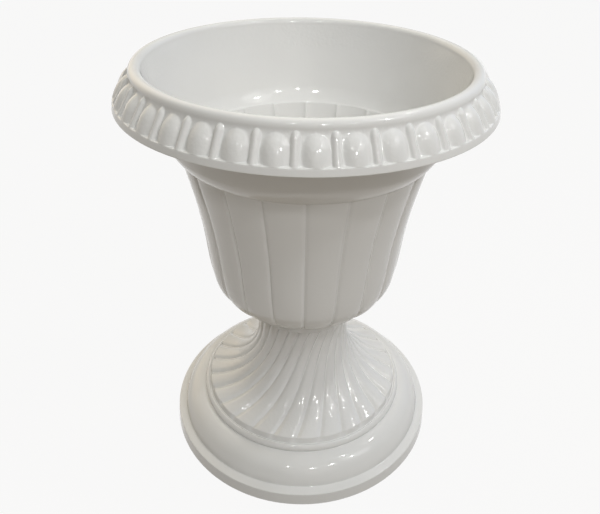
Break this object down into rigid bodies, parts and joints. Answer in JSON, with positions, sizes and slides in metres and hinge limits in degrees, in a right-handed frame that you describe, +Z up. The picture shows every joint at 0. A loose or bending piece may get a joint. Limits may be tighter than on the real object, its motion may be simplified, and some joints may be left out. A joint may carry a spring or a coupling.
{
  "type": "urn planter",
  "caption": "Garden urn planter: a lobed bowl with an egg-and-dart lip that locks by a bayonet turn onto a fluted pedestal, with a pull-out drain plug.",
  "frame": {"origin": "centre of the foot on the surface it stands on", "axes": "+Z up along the axis of the urn; -Y towards the viewer of the picture"},
  "size_m": [0.25, 0.25, 0.305],
  "materials": {
    "pedestal": "gloss white moulded resin with a faintly uneven skin",
    "bowl": "gloss white moulded resin with a faintly uneven skin",
    "drain_plug": "soft white plastic, satin"
  },
  "bodies": {
    "pedestal": {"pedestal": "pedestal"},
    "bowl": {"bowl": "bowl"},
    "drain_plug": {"drain_plug": "drain_plug"}
  },
  "joints": [
    {"name": "bowl_twist", "type": "hinge", "parent": "pedestal", "child": "bowl", "pos_m": [0, 0, 0.116], "axis": [0, 0, 1], "range_deg": [0, 35]},
    {"name": "drain_plug_pull", "type": "slide", "parent": "bowl", "child": "drain_plug", "axis": [0, 0, 1], "range_m": [0, 0.016]}
  ]
}
